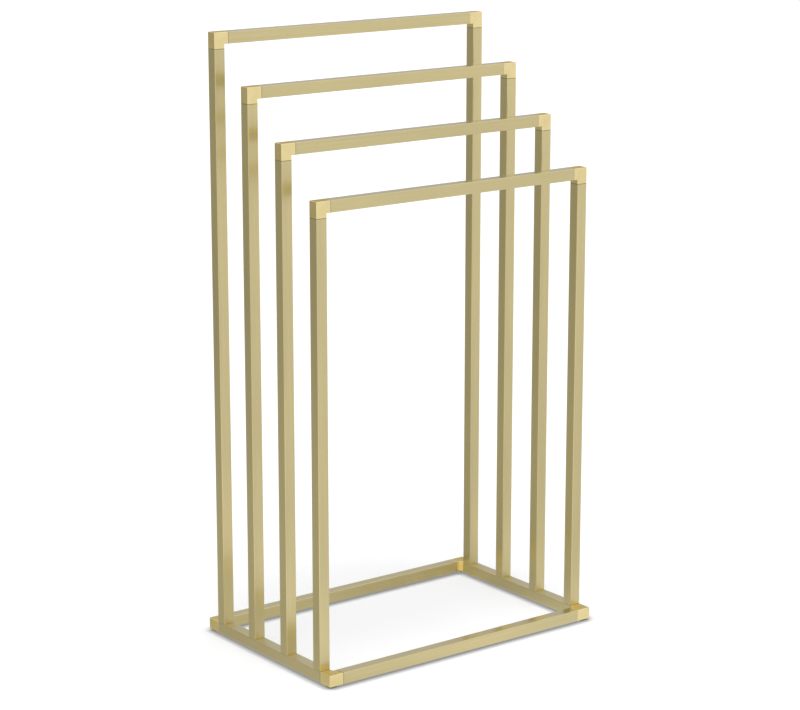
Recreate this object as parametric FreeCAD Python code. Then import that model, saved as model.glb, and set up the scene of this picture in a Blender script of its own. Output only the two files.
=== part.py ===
"""Freestanding towel stand: four nested frames of square tube on a rectangular floor base.

Millimetres. +X is to the right as seen from the front, +Y to the back, +Z up.
The origin is on the floor, at the middle of the base.
"""
import FreeCAD, Part
import os

# ---- Driving dimensions -------------------------------------------------------------

# Overall size of the base, over its outer faces
stand_width = 450.0
stand_depth = 288.0

# Top of the lowest towel bar, and how much higher each frame behind it stands
front_bar_height = 642.0
tier_step = 64.0
tiers = ["front", "second", "third", "rear"]

# Square steel tube
tube_side = 16.0
tube_wall = 1.0
tube_edge_radius = 1.0
tube_bore_radius = 0.3

# Moulded corner elbows: a collar shows past the corner block, a spigot enters the tube
elbow_collar = 6.0
spigot_length = 20.0
spigot_clearance = 0.15
spigot_lead_in = 1.0

# Fine bevel round each tube end and each collar, which shows as the seam line
seam_bevel = 0.25

# Threaded plug in the foot of each post
plug_length = 25.0
thread_radius = 2.5
thread_clearance = 0.05

# Socket head screw that holds each post to its rail
screw_length = 20.0
screw_head_radius = 4.25
screw_head_height = 5.0
socket_radius = 2.3
socket_depth = 2.5
screw_hole_clearance = 0.25
head_clearance = 0.5

# Rubber pad under each base corner, held by a peg in the elbow
pad_side = 12.0
pad_height = 2.0
pad_corner_radius = 2.0
peg_radius = 2.5
peg_height = 5.0
peg_clearance = 0.1

# ---- Places worked out from the sizes above ------------------------------------------

half_side = tube_side / 2
elbow_arm = tube_side + elbow_collar
bore_side = tube_side - 2 * tube_wall
spigot_side = bore_side - 2 * spigot_clearance
access_radius = screw_head_radius + head_clearance

# Centre lines of the base rails, and the height of their flat top
rail_x = stand_width / 2 - half_side
rail_y = stand_depth / 2 - half_side
rail_z = pad_height + half_side
rail_top = pad_height + tube_side

# The outer frames stand where the side rails leave the elbow collars
front_post_y = -stand_depth / 2 + elbow_arm + half_side
tier_pitch = -2 * front_post_y / (len(tiers) - 1)

X_AXIS, Y_AXIS, Z_AXIS = range(3)
SAME_PLACE = 1e-6
HEX_CORNERS = 6
SIDES = {"left": -1, "right": 1}
ENDS = {"front": -1, "rear": 1}


# ---- Shared shapes -------------------------------------------------------------------

def runs_along(edge, axis):
    """True where a straight edge is parallel to the axis."""
    step = edge.Vertexes[-1].Point - edge.Vertexes[0].Point
    return abs(step[axis]) > SAME_PLACE and abs(abs(step[axis]) - step.Length) < SAME_PLACE


def lies_at(edge, axis, place):
    """True where every end of the edge is in the plane across the axis at that place."""
    return all(abs(vertex.Point[axis] - place) < SAME_PLACE for vertex in edge.Vertexes)


def square_prism(axis, start, end, centre, side, radius=0.0):
    """A square bar round a centre line that runs along the axis from start to end."""
    low, high = min(start, end), max(start, end)
    corner = FreeCAD.Vector(*[low if k == axis else centre[k] - side / 2 for k in range(3)])
    lengths = [high - low if k == axis else side for k in range(3)]
    prism = Part.makeBox(*lengths, corner)
    if radius > 0:
        prism = prism.makeFillet(radius, [edge for edge in prism.Edges if runs_along(edge, axis)])
    return prism


def bevelled(solid, axis, places):
    """The solid with a fine bevel round each end face that lies at one of the places."""
    rims = [edge for edge in solid.Edges if any(lies_at(edge, axis, place) for place in places)]
    return solid.makeChamfer(seam_bevel, rims)


def square_tube(axis, start, end, centre):
    """A length of the square tube, with a fine bevel round both ends."""
    outside = square_prism(axis, start, end, centre, tube_side, tube_edge_radius)
    bore = square_prism(axis, start, end, centre, bore_side, tube_bore_radius)
    return bevelled(outside, axis, (start, end)).cut(bore)


def spigot(axis, start, direction, centre):
    """The square tongue of an elbow that enters a tube, narrowed at its tip."""
    end = start + direction * spigot_length
    tongue = square_prism(axis, start, end, centre, spigot_side)
    return tongue.makeChamfer(spigot_lead_in, [edge for edge in tongue.Edges if lies_at(edge, axis, end)])


def elbow(centre, arms):
    """An L-shaped corner round the block at centre. Each arm is (axis, direction)."""
    body = None
    for axis, direction in arms:
        start = centre[axis] - direction * half_side
        arm = square_prism(axis, start, start + direction * elbow_arm, centre, tube_side)
        body = arm if body is None else body.fuse(arm)
    body = body.removeSplitter()

    # The mouths meet the tubes, and the inside corner of the L stays sharp: all other edges are rounded
    mouths = [(axis, centre[axis] + direction * (elbow_arm - half_side)) for axis, direction in arms]
    inside = {axis: centre[axis] + direction * half_side for axis, direction in arms}
    rounded = [edge for edge in body.Edges
               if not any(lies_at(edge, axis, place) for axis, place in mouths)
               and not all(lies_at(edge, axis, place) for axis, place in inside.items())]
    body = body.makeFillet(tube_edge_radius, rounded)

    for axis, place in mouths:
        body = bevelled(body, axis, (place,))
    for (axis, direction), (_, place) in zip(arms, mouths):
        body = body.fuse(spigot(axis, place, direction, centre))
    return body.removeSplitter()


def round_bar(radius, bottom, top, x, y):
    """An upright cylinder."""
    return Part.makeCylinder(radius, top - bottom, FreeCAD.Vector(x, y, bottom))


# ---- Where the frames stand ----------------------------------------------------------

def tier_y(index):
    """Centre line of a frame, counted from the front."""
    return front_post_y + index * tier_pitch


def tier_height(index):
    """Top of a frame's towel bar."""
    return front_bar_height + index * tier_step


# ---- Base ----------------------------------------------------------------------------

def cross_rail(end):
    """The front or rear rail of the base, between its two elbows."""
    reach = stand_width / 2 - elbow_arm
    return square_tube(X_AXIS, -reach, reach, FreeCAD.Vector(0, ENDS[end] * rail_y, rail_z))


def side_rail(side):
    """A side rail, with a screw hole under each post and an access hole below it."""
    reach = stand_depth / 2 - elbow_arm
    x = SIDES[side] * rail_x
    rail = square_tube(Y_AXIS, -reach, reach, FreeCAD.Vector(x, 0, rail_z))
    for index in range(len(tiers)):
        y = tier_y(index)
        rail = rail.cut(round_bar(thread_radius + screw_hole_clearance, rail_z, rail_top, x, y))
        rail = rail.cut(round_bar(access_radius, pad_height, rail_z, x, y))
    return rail


def base_elbow(end, side):
    """A base corner: a clear way through its side spigot for the screw, and a peg hole below."""
    x, y = SIDES[side] * rail_x, ENDS[end] * rail_y
    corner = elbow(FreeCAD.Vector(x, y, rail_z), [(X_AXIS, -SIDES[side]), (Y_AXIS, -ENDS[end])])
    post_y = ENDS[end] * -front_post_y
    corner = corner.cut(round_bar(access_radius, pad_height, rail_top, x, post_y))
    peg_top = pad_height + peg_height + peg_clearance
    return corner.cut(round_bar(peg_radius + peg_clearance, pad_height, peg_top, x, y))


def foot_pad(end, side):
    """A rubber pad with rounded corners and the peg that holds it in the elbow."""
    x, y = SIDES[side] * rail_x, ENDS[end] * rail_y
    pad = square_prism(Z_AXIS, 0, pad_height, FreeCAD.Vector(x, y, 0), pad_side, pad_corner_radius)
    return pad.fuse(round_bar(peg_radius, pad_height, pad_height + peg_height, x, y))


# ---- Frames --------------------------------------------------------------------------

def post(index, side):
    """An upright tube, from the rail's flat top to the collar of its elbow."""
    centre = FreeCAD.Vector(SIDES[side] * rail_x, tier_y(index), 0)
    return square_tube(Z_AXIS, rail_top, tier_height(index) - elbow_arm, centre)


def towel_bar(index):
    """The horizontal tube that towels hang over, between the frame's two elbows."""
    reach = stand_width / 2 - elbow_arm
    centre = FreeCAD.Vector(0, tier_y(index), tier_height(index) - half_side)
    return square_tube(X_AXIS, -reach, reach, centre)


def top_elbow(index, side):
    """A frame's top corner, which turns from the post into the towel bar."""
    centre = FreeCAD.Vector(SIDES[side] * rail_x, tier_y(index), tier_height(index) - half_side)
    return elbow(centre, [(X_AXIS, -SIDES[side]), (Z_AXIS, -1)])


def post_plug(index, side):
    """A square plug with a threaded bore, flush with the foot of its post."""
    x, y = SIDES[side] * rail_x, tier_y(index)
    top = rail_top + plug_length
    plug = square_prism(Z_AXIS, rail_top, top, FreeCAD.Vector(x, y, 0), spigot_side)
    plug = plug.makeChamfer(spigot_lead_in, [edge for edge in plug.Edges if lies_at(edge, Z_AXIS, top)])
    return plug.cut(round_bar(thread_radius, rail_top, top, x, y))


def post_screw(index, side):
    """A socket head screw: its head bears up against the inside of the rail's upper wall."""
    x, y = SIDES[side] * rail_x, tier_y(index)
    seat = rail_top - tube_wall
    bottom = seat - screw_head_height
    head = round_bar(screw_head_radius, bottom, seat, x, y)
    shank = round_bar(thread_radius - thread_clearance, seat, seat + screw_length, x, y)
    turns = [360 / HEX_CORNERS * k for k in range(HEX_CORNERS)] + [0]
    hexagon = [FreeCAD.Vector(x, y, bottom) + turned(socket_radius, degrees) for degrees in turns]
    socket = Part.Face(Part.makePolygon(hexagon)).extrude(FreeCAD.Vector(0, 0, socket_depth))
    return head.fuse(shank).cut(socket)


def turned(radius, degrees):
    """A level vector of that length, turned about Z."""
    return FreeCAD.Rotation(FreeCAD.Vector(0, 0, 1), degrees).multVec(FreeCAD.Vector(radius, 0, 0))


# ---- The whole stand -----------------------------------------------------------------

def stand_pieces():
    """Every node of the stand, by name."""
    pieces = {}
    for end in ENDS:
        pieces["base_" + end + "_rail"] = cross_rail(end)
        for side in SIDES:
            pieces["base_" + end + "_" + side + "_elbow"] = base_elbow(end, side)
            pieces["base_" + end + "_" + side + "_foot_pad"] = foot_pad(end, side)
    for side in SIDES:
        pieces["base_" + side + "_rail"] = side_rail(side)
    for index, tier in enumerate(tiers):
        pieces[tier + "_towel_bar"] = towel_bar(index)
        for side in SIDES:
            pieces[tier + "_" + side + "_post"] = post(index, side)
            pieces[tier + "_" + side + "_top_elbow"] = top_elbow(index, side)
            pieces[tier + "_" + side + "_post_plug"] = post_plug(index, side)
    screws = [post_screw(index, side) for index in range(len(tiers)) for side in SIDES]
    pieces["post_screws"] = Part.makeCompound(screws)
    return pieces


os.makedirs("parts", exist_ok=True)
for name, shape in stand_pieces().items():
    if not shape.isValid():
        raise ValueError(name + " is not a valid solid")
    shape.exportStep("parts/" + name + ".step")
    print(name, len(shape.Solids), "solids", round(shape.Volume, 1), "mm3")
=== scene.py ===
"""Looks of the freestanding towel stand: satin gold tube, brighter gold corner elbows, soft white studio."""
import math

import bpy
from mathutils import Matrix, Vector


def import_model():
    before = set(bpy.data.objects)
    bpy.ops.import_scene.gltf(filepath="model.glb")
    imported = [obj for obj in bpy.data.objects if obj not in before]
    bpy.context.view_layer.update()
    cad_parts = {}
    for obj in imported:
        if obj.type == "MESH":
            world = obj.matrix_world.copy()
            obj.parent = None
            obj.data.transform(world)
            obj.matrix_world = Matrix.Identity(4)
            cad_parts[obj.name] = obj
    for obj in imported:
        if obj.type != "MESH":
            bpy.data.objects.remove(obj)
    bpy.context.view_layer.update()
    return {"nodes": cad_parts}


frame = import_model()

TIERS = ("front", "second", "third", "rear")
SIDES = ("left", "right")
ENDS = ("front", "rear")
X_AXIS, Y_AXIS, Z_AXIS = range(3)

# Sockets of the mix node that take a factor and two colours, and the one that gives a colour
MIX_FACTOR, MIX_FIRST, MIX_SECOND, MIX_RESULT = 0, 6, 7, 2


def grey(value):
    return (value, value, value)


# ---- Finishes: tones are linear red, green and blue, lengths are in metres ---------------

# The part of a noise's range that is spread over a whole change of tone or roughness. A noise's scale is
# how often it repeats in a metre, and a bump is its height and how strongly it shows
NOISE_SPAN = (0.3, 0.7)
CLOUD_SPAN = (0.35, 0.65)
FINE_NOISE = {"detail": 3.0, "roughness": 0.6}

# Satin tube under clear lacquer. Drawn lines run along it, and its gold drifts between two tones
TUBE_TONES = ((0.632, 0.538, 0.271), (0.677, 0.573, 0.285))
TUBE_ROUGHNESS = (0.28, 0.34)
TUBE_ANISOTROPY = 0.5
LACQUER_WEIGHT = 0.9
LACQUER_ROUGHNESS = 0.03
LINE_TONE = (0.50, 0.42, 0.20)
LINE_SHADE = 0.34
LINE_BUMP = (0.00001, 0.5)
TUBE_GRAIN_SCALE = 1400.0
TUBE_GRAIN_BUMP = (0.000005, 0.4)

# Scales along the tube and across it
LINE_SCALES = (6.0, 900.0)
TUBE_CLOUD_SCALES = (5.0, 14.0)

# Painted shade in the seam groove at a tube's end starts and is full at these distances from the end
SEAM_REACH = 0.0007
SEAM_FULL = 0.0003
SEAM_SHADOW_TONE = (0.10, 0.08, 0.04)
SEAM_SHADE = 0.8

ELBOW_TONES = ((0.835, 0.69, 0.345), (0.885, 0.74, 0.39))
ELBOW_EDGE_TINT = (0.95, 0.85, 0.55)
ELBOW_ROUGHNESS = (0.16, 0.22)
ELBOW_CLOUD_SCALE = 60.0
ELBOW_GRAIN_SCALE = 1600.0
ELBOW_GRAIN_BUMP = (0.000004, 0.3)

RUBBER_TONES = ((0.32, 0.32, 0.31), (0.42, 0.42, 0.41))
RUBBER_ROUGHNESS = (0.7, 0.9)
RUBBER_GRAIN_SCALE = 900.0
RUBBER_GRAIN_BUMP = (0.00005, 0.5)

PLASTIC_TONES = (grey(0.015), grey(0.035))
PLASTIC_ROUGHNESS = (0.45, 0.6)
PLASTIC_GRAIN_SCALE = 500.0

STEEL_TONES = ((0.50, 0.50, 0.51), (0.62, 0.62, 0.63))
STEEL_ROUGHNESS = (0.28, 0.42)
STEEL_GRAIN_SCALE = 700.0


# ---- Studio --------------------------------------------------------------------------------

WHITE = grey(1.0)
BLACK = grey(0.0)

# A round floor. It is lifted a little everywhere, and shaded close to what stands on it
FLOOR_RADIUS = 16.0
FLOOR_CORNERS = 96
FLOOR_TONE = (0.855, 0.86, 0.868)
FLOOR_ROUGHNESS = 0.9
FLOOR_LIFT = 0.3
CONTACT_REACH = 0.0125
CONTACT_SPAN = (0.43, 1.0)
CONTACT_SAMPLES = 8

# A faint broad shade lies under the rear of the stand. Its middle and where it fades are measured on a floor
# stretched by the first scale
SHADE_STRETCH = (0.8, 1.0, 1.0)
SHADE_MIDDLE = (0.01, 0.13, 0.0)
SHADE_EDGES = (0.08, 0.3)
SHADE_TONE = (0.715, 0.72, 0.727)

# What the metal mirrors is dimmer from behind the stand, a little to its left, and brighter from its
# front left
DARK_SIDE = (-0.35, 0.94, 0.0)
BRIGHT_SIDE = (-0.79, -0.61, 0.0)
UPWARDS = (0.0, 0.0, 1.0)

# The painted brightness of the mirrored floor, at distances in metres towards the dark side and towards the
# bright side
FLOOR_SPAN = (-4.0, 4.0)
FLOOR_TO_DARK = ((-3.0, 1.02), (-1.7, 1.06), (-0.5, 0.97), (-0.2, 1.24), (0.0, 0.76, 0.75, 0.67),
                 (0.2, 0.67, 0.66, 0.55), (0.5, 0.74, 0.73, 0.62), (1.3, 0.64, 0.63, 0.54),
                 (2.5, 0.49, 0.485, 0.42), (4.0, 0.53, 0.525, 0.455))
FLOOR_TO_BRIGHT = ((-3.0, 1.7), (-1.0, 1.35), (-0.4, 0.91), (-0.15, 0.84), (0.2, 1.03), (2.0, 1.06))

# Two pools of light on the mirrored floor, front left of the stand: the middle of each and where it fades
LIGHT_POOLS = (((-0.72, -0.72, 0.0), (0.25, 0.7)), ((-0.46, -0.34, 0.0), (0.12, 0.3)))
POOL_TONE = grey(1.8)

# How much brighter the floor is for light that has left one piece of metal for another
SECOND_MIRROR = (1.75, 1.88, 2.35)

# The rest of what the metal mirrors in the floor is its sheen, which shows the studio beyond
SHEEN_SHARE = 0.5
SHEEN_ROUGHNESS = 0.15

# The studio's horizon, from straight away from the dark side (-1) to straight towards it (1), as the metal
# and the floor's sheen see it
HORIZON_SPAN = (-1.0, 1.0)
DARK_HORIZON = ((0.5, 0.49), (0.9, 0.34, 0.335, 0.29), (1.0, 0.32, 0.315, 0.27))
METAL_HORIZON = ((-1.0, 0.97), (-0.8, 0.94), (-0.45, 0.68), (-0.1, 0.64)) + DARK_HORIZON
SHEEN_HORIZON = ((-1.0, 0.97), (-0.1, 0.92)) + DARK_HORIZON

# Brighter parts of the studio, at the front left and overhead, and what little light it gives the floor
FRONT_LEFT_EDGES = (0.5, 0.95)
FRONT_LEFT_TONE = grey(1.2)
OVERHEAD_EDGES = (0.28, 0.65)
OVERHEAD_TONE = grey(1.05)
AMBIENT_TONE = grey(0.06)

# The one light: where it stands, how wide it is and its strength
LIGHT_SIDE = (-0.08, -0.05, 1.0)
LIGHT_DEGREES = 70
LIGHT_STRENGTH = 2.9

# Camera, at the photograph's viewing angle: place in metres, heading and tilt in degrees
CAMERA_PLACE = (-2.006, -2.647, 1.1905)
CAMERA_HEADING = 37.14
CAMERA_TILT = 13.57
CAMERA_REACH = 100.0
IMAGE_WIDTH = 800
FOCAL_PIXELS = 2500.0
SENSOR_WIDTH = 36.0


# ---- Node helpers ---------------------------------------------------------------------------

class Tree:
    """A node tree of a material or of the world, with short calls for the nodes used here."""

    def __init__(self, tree):
        self.tree = tree
        self.nodes = tree.nodes

    def add(self, kind, **settings):
        node = self.nodes.new(kind)
        for key, value in settings.items():
            setattr(node, key, value)
        return node

    def link(self, source, target):
        self.tree.links.new(source, target)

    def feed(self, value, target):
        """Sets the target to a tone or a number, or links a socket to it."""
        if isinstance(value, tuple):
            target.default_value = (*value, 1.0)
        elif isinstance(value, float):
            target.default_value = value
        else:
            self.link(value, target)

    def coordinates(self, kind="Object"):
        return self.add("ShaderNodeTexCoord").outputs[kind]

    def stretched(self, scale):
        """Object coordinates, stretched by a scale along each axis."""
        mapping = self.add("ShaderNodeMapping")
        mapping.inputs["Scale"].default_value = scale
        self.link(self.coordinates(), mapping.inputs["Vector"])
        return mapping.outputs["Vector"]

    def noise(self, vector, scale, detail=2.0, roughness=0.5):
        node = self.add("ShaderNodeTexNoise")
        for key, value in (("Scale", scale), ("Detail", detail), ("Roughness", roughness)):
            node.inputs[key].default_value = value
        self.link(vector, node.inputs["Vector"])
        return node.outputs["Fac"]

    def spread(self, source, span, onto=(0.0, 1.0), smooth=False):
        """Maps a span of the source onto another, clamped."""
        node = self.add("ShaderNodeMapRange", interpolation_type="SMOOTHSTEP" if smooth else "LINEAR")
        for key, value in zip(("From Min", "From Max", "To Min", "To Max"), (*span, *onto)):
            node.inputs[key].default_value = value
        self.link(source, node.inputs["Value"])
        return node.outputs["Result"]

    def blend(self, factor, first, second, kind="MIX"):
        """A colour that goes from the first to the second with the factor."""
        node = self.add("ShaderNodeMix", data_type="RGBA", blend_type=kind)
        for socket, value in ((MIX_FACTOR, factor), (MIX_FIRST, first), (MIX_SECOND, second)):
            self.feed(value, node.inputs[socket])
        return node.outputs[MIX_RESULT]

    def multiply(self, first, second):
        return self.blend(1.0, first, second, "MULTIPLY")

    def mix_shaders(self, factor, first, second):
        node = self.add("ShaderNodeMixShader")
        self.feed(factor, node.inputs["Fac"])
        self.link(first, node.inputs[1])
        self.link(second, node.inputs[2])
        return node.outputs["Shader"]

    def bump(self, height, distance, strength, normal=None):
        node = self.add("ShaderNodeBump")
        node.inputs["Distance"].default_value = distance
        node.inputs["Strength"].default_value = strength
        self.link(height, node.inputs["Height"])
        if normal is not None:
            self.link(normal, node.inputs["Normal"])
        return node.outputs["Normal"]

    def calculate(self, operation, first, second):
        node = self.add("ShaderNodeMath", operation=operation)
        self.feed(first, node.inputs[0])
        self.feed(second, node.inputs[1])
        return node.outputs["Value"]

    def vector_math(self, operation, vector, constant, output="Value"):
        node = self.add("ShaderNodeVectorMath", operation=operation)
        self.link(vector, node.inputs[0])
        node.inputs[1].default_value = constant
        return node.outputs[output]

    def reach(self, vector, direction):
        """How far the vector goes in a direction."""
        return self.vector_math("DOT_PRODUCT", vector, direction)

    def distance(self, vector, point):
        return self.vector_math("DISTANCE", vector, point)

    def from_middle(self, axis, low, high):
        """How far along the axis a point is from the middle of low..high."""
        unit = tuple(1.0 if k == axis else 0.0 for k in range(3))
        along_axis = self.vector_math("MULTIPLY", self.coordinates(), unit, "Vector")
        return self.distance(along_axis, tuple(k * (low + high) / 2 for k in unit))

    def path(self, output):
        return self.add("ShaderNodeLightPath").outputs[output]

    def mirrored(self):
        """1 for what the metal mirrors, 0 for what the eye sees and for light that falls on the floor."""
        sharp = self.calculate("LESS_THAN", self.path("Diffuse Depth"), 0.5)
        return self.calculate("MULTIPLY", self.path("Is Glossy Ray"), sharp)

    def mirrored_twice(self):
        """0 for what one surface mirrors, 1 for what is mirrored once more."""
        return self.spread(self.path("Glossy Depth"), (1.0, 2.0))

    def ramp(self, source, span, stops):
        """A curve through stops of (place, grey) or (place, red, green, blue), over a span of the source."""
        low, high = span
        node = self.add("ShaderNodeValToRGB")
        node.color_ramp.interpolation = "EASE"
        elements = node.color_ramp.elements
        while len(elements) < len(stops):
            elements.new(1.0)
        for element, (where, *tone) in zip(elements, stops):
            element.position = (where - low) / (high - low)
            element.color = (*(tone if len(tone) == 3 else tone * 3), 1.0)
        self.link(self.spread(source, span), node.inputs["Fac"])
        return node.outputs["Color"]


def new_material(name):
    """A material, its tree and its principled shader."""
    material = bpy.data.materials.new(name)
    material.use_nodes = True
    tree = Tree(material.node_tree)
    return material, tree, tree.nodes["Principled BSDF"].inputs


# ---- Materials -------------------------------------------------------------------------------

def extent(name, axis):
    """Where a CAD node starts and ends along an axis."""
    places = [vertex.co[axis] for vertex in frame["nodes"][name].data.vertices]
    return min(places), max(places)


def along(axis, scales):
    """A scale for each axis, from one along the tube and one across it."""
    lengthwise, crosswise = scales
    return tuple(lengthwise if k == axis else crosswise for k in range(3))


def satin_tube(sample, axis):
    """Champagne gold on steel tube like the sample node: satin lines along it, clear lacquer, painted shade
    in the seams at its ends.
    """
    low, high = extent(sample, axis)
    # A post gets no painted seam shade at its foot, so it is measured as if it went on as far below the
    # floor
    if axis == Z_AXIS:
        low = -high
    edge = (high - low) / 2

    material, tree, surface = new_material("satin_gold_" + sample)
    surface["Metallic"].default_value = 1.0
    surface["Anisotropic"].default_value = TUBE_ANISOTROPY
    surface["Coat Weight"].default_value = LACQUER_WEIGHT
    surface["Coat Roughness"].default_value = LACQUER_ROUGHNESS
    tangent = tree.add("ShaderNodeTangent", direction_type="RADIAL", axis="XYZ"[axis])
    tree.link(tangent.outputs["Tangent"], surface["Tangent"])

    lines = tree.noise(tree.stretched(along(axis, LINE_SCALES)), scale=1.0, **FINE_NOISE)
    cloud = tree.noise(tree.stretched(along(axis, TUBE_CLOUD_SCALES)), scale=1.0)
    grain = tree.noise(tree.coordinates(), TUBE_GRAIN_SCALE)

    tone = tree.blend(tree.spread(cloud, CLOUD_SPAN), *TUBE_TONES)
    tone = tree.blend(tree.spread(lines, NOISE_SPAN, (0.0, LINE_SHADE)), tone, LINE_TONE)
    # Painted shade: the colour darkens in the seam groove where the tube meets an elbow
    seam_span = (edge - SEAM_REACH, edge - SEAM_FULL)
    seam = tree.spread(tree.from_middle(axis, low, high), seam_span, (0.0, SEAM_SHADE))
    tree.link(tree.blend(seam, tone, SEAM_SHADOW_TONE), surface["Base Color"])
    tree.link(tree.spread(lines, NOISE_SPAN, TUBE_ROUGHNESS), surface["Roughness"])

    drawn = tree.bump(lines, *LINE_BUMP)
    tree.link(tree.bump(grain, *TUBE_GRAIN_BUMP, normal=drawn), surface["Normal"])
    return material


def elbow_gold():
    """The brighter plated gold of the moulded elbows."""
    material, tree, surface = new_material("plated_gold_elbow")
    surface["Metallic"].default_value = 1.0
    surface["Specular Tint"].default_value = (*ELBOW_EDGE_TINT, 1.0)
    cloud = tree.noise(tree.coordinates(), ELBOW_CLOUD_SCALE)
    grain = tree.noise(tree.coordinates(), ELBOW_GRAIN_SCALE)
    tree.link(tree.blend(tree.spread(cloud, CLOUD_SPAN), *ELBOW_TONES), surface["Base Color"])
    tree.link(tree.spread(grain, NOISE_SPAN, ELBOW_ROUGHNESS), surface["Roughness"])
    tree.link(tree.bump(grain, *ELBOW_GRAIN_BUMP), surface["Normal"])
    return material


def pad_rubber():
    """Dull grey rubber with a fine grain."""
    material, tree, surface = new_material("foot_pad_rubber")
    grain = tree.noise(tree.coordinates(), RUBBER_GRAIN_SCALE, **FINE_NOISE)
    tree.link(tree.blend(grain, *RUBBER_TONES), surface["Base Color"])
    tree.link(tree.spread(grain, NOISE_SPAN, RUBBER_ROUGHNESS), surface["Roughness"])
    tree.link(tree.bump(grain, *RUBBER_GRAIN_BUMP), surface["Normal"])
    return material


def plug_plastic():
    """Black moulded plastic of the post plugs, inside the tubes."""
    material, tree, surface = new_material("post_plug_plastic")
    grain = tree.noise(tree.coordinates(), PLASTIC_GRAIN_SCALE)
    tree.link(tree.blend(grain, *PLASTIC_TONES), surface["Base Color"])
    tree.link(tree.spread(grain, NOISE_SPAN, PLASTIC_ROUGHNESS), surface["Roughness"])
    return material


def screw_steel():
    """Zinc plated steel of the screws."""
    material, tree, surface = new_material("post_screw_steel")
    surface["Metallic"].default_value = 1.0
    grain = tree.noise(tree.coordinates(), STEEL_GRAIN_SCALE)
    tree.link(tree.blend(grain, *STEEL_TONES), surface["Base Color"])
    tree.link(tree.spread(grain, NOISE_SPAN, STEEL_ROUGHNESS), surface["Roughness"])
    return material


def dress(name, material):
    """Gives a CAD node its finish."""
    data = frame["nodes"][name].data
    data.materials.clear()
    data.materials.append(material)


def dress_stand():
    """Every CAD node keeps its shape and takes its finish."""
    along_x = satin_tube("base_front_rail", X_AXIS)
    along_y = satin_tube("base_left_rail", Y_AXIS)
    gold, rubber, plastic, steel = elbow_gold(), pad_rubber(), plug_plastic(), screw_steel()
    for end in ENDS:
        dress("base_" + end + "_rail", along_x)
        for side in SIDES:
            dress("base_" + end + "_" + side + "_elbow", gold)
            dress("base_" + end + "_" + side + "_foot_pad", rubber)
    for side in SIDES:
        dress("base_" + side + "_rail", along_y)
    for tier in TIERS:
        along_z = satin_tube(tier + "_left_post", Z_AXIS)
        dress(tier + "_towel_bar", along_x)
        for side in SIDES:
            dress(tier + "_" + side + "_post", along_z)
            dress(tier + "_" + side + "_top_elbow", gold)
            dress(tier + "_" + side + "_post_plug", plastic)
    dress("post_screws", steel)


# ---- Floor, studio, light and camera ---------------------------------------------------------

def mirrored_floor(tree):
    """The floor as the metal mirrors it: part a painted glow, graded brighter and dimmer, part a sheen that
    shows the studio beyond.
    """
    place = tree.coordinates()
    tone = tree.multiply(tree.ramp(tree.reach(place, DARK_SIDE), FLOOR_SPAN, FLOOR_TO_DARK),
                         tree.ramp(tree.reach(place, BRIGHT_SIDE), FLOOR_SPAN, FLOOR_TO_BRIGHT))
    for middle, edges in LIGHT_POOLS:
        in_pool = tree.spread(tree.distance(place, middle), edges, (1.0, 0.0), smooth=True)
        tone = tree.blend(in_pool, tone, POOL_TONE)
    tone = tree.multiply(tone, tree.blend(tree.mirrored_twice(), WHITE, SECOND_MIRROR))

    # Painted light: for the metal's reflections the floor glows, though it is no lamp
    painted_glow = tree.add("ShaderNodeEmission")
    tree.link(tone, painted_glow.inputs["Color"])
    sheen = tree.add("ShaderNodeBsdfAnisotropic")
    sheen.inputs["Roughness"].default_value = SHEEN_ROUGHNESS
    return tree.mix_shaders(SHEEN_SHARE, painted_glow.outputs["Emission"], sheen.outputs["BSDF"])


def floor():
    """A white floor, far larger than the view, with painted contact shade and a painted broad shade under
    the stand. The metal mirrors it dimmer towards the dark side.
    """
    turns = [2 * math.pi * k / FLOOR_CORNERS for k in range(FLOOR_CORNERS)]
    ring = [(FLOOR_RADIUS * math.cos(turn), FLOOR_RADIUS * math.sin(turn), 0) for turn in turns]
    mesh = bpy.data.meshes.new("studio_floor")
    mesh.from_pydata(ring, [], [list(range(FLOOR_CORNERS))])
    piece = bpy.data.objects.new("studio_floor", mesh)
    bpy.context.scene.collection.objects.link(piece)

    material, tree, surface = new_material("studio_floor_white")
    # Painted shadow: a broad faint shade in the floor's colour under the rear of the stand
    from_shade = tree.distance(tree.stretched(SHADE_STRETCH), SHADE_MIDDLE)
    in_shade = tree.spread(from_shade, SHADE_EDGES, (1.0, 0.0), smooth=True)
    # Painted contact shadow: the floor's colour darkens close to what stands on it
    contact = tree.add("ShaderNodeAmbientOcclusion", samples=CONTACT_SAMPLES)
    contact.inputs["Distance"].default_value = CONTACT_REACH
    clear = tree.spread(contact.outputs["AO"], CONTACT_SPAN)
    tone = tree.blend(clear, BLACK, tree.blend(in_shade, FLOOR_TONE, SHADE_TONE))
    tree.link(tone, surface["Base Color"])
    surface["Emission Color"].default_value = (*WHITE, 1.0)
    surface["Emission Strength"].default_value = FLOOR_LIFT
    surface["Roughness"].default_value = FLOOR_ROUGHNESS
    surface["Specular IOR Level"].default_value = 0.0
    seen = tree.nodes["Principled BSDF"].outputs["BSDF"]
    both = tree.mix_shaders(tree.mirrored(), seen, mirrored_floor(tree))
    tree.link(both, tree.nodes["Material Output"].inputs["Surface"])
    mesh.materials.append(material)


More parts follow.
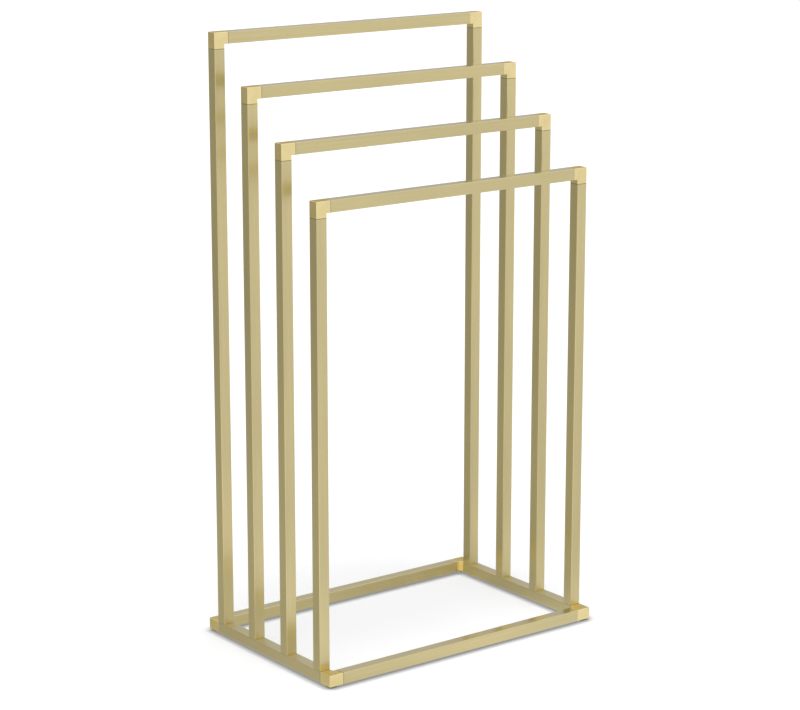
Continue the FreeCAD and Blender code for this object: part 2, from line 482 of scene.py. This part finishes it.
def world():
    """White all round to the eye, dim for the floor, and graded towards the dark side for the metal."""
    sky = bpy.data.worlds.new("soft_studio")
    bpy.context.scene.world = sky
    sky.use_nodes = True
    sky.cycles.sampling_method = "NONE"
    tree = Tree(sky.node_tree)
    direction = tree.coordinates("Generated")
    side = tree.reach(direction, DARK_SIDE)
    by_metal = tree.ramp(side, HORIZON_SPAN, METAL_HORIZON)
    by_sheen = tree.ramp(side, HORIZON_SPAN, SHEEN_HORIZON)
    mirrored = tree.blend(tree.mirrored_twice(), by_metal, by_sheen)
    front_left = tree.spread(tree.reach(direction, BRIGHT_SIDE), FRONT_LEFT_EDGES, smooth=True)
    mirrored = tree.blend(front_left, mirrored, FRONT_LEFT_TONE)
    overhead = tree.spread(tree.reach(direction, UPWARDS), OVERHEAD_EDGES, smooth=True)
    mirrored = tree.blend(overhead, mirrored, OVERHEAD_TONE)
    tone = tree.blend(tree.mirrored(), AMBIENT_TONE, mirrored)
    tone = tree.blend(tree.path("Is Camera Ray"), tone, WHITE)
    tree.link(tone, tree.nodes["Background"].inputs["Color"])


def broad_light():
    """Even light from a round patch of sky. It lights the floor and stays out of the metal's reflections."""
    data = bpy.data.lights.new("overhead_light", "SUN")
    data.angle = math.radians(LIGHT_DEGREES)
    data.energy = LIGHT_STRENGTH
    light = bpy.data.objects.new("overhead_light", data)
    light.rotation_euler = Vector(LIGHT_SIDE).to_track_quat("Z", "Y").to_euler()
    light.visible_glossy = False
    bpy.context.scene.collection.objects.link(light)


def camera():
    """A plain camera, level from side to side, at the photograph's viewing angle."""
    data = bpy.data.cameras.new("photo_camera")
    data.sensor_width = SENSOR_WIDTH
    data.lens = FOCAL_PIXELS * SENSOR_WIDTH / IMAGE_WIDTH
    data.clip_end = CAMERA_REACH
    piece = bpy.data.objects.new("photo_camera", data)
    piece.location = CAMERA_PLACE
    piece.rotation_euler = (math.radians(90 - CAMERA_TILT), 0, math.radians(-CAMERA_HEADING))
    bpy.context.scene.collection.objects.link(piece)
    bpy.context.scene.camera = piece


dress_stand()
floor()
world()
broad_light()
camera()
bpy.context.scene.view_settings.view_transform = "Standard"
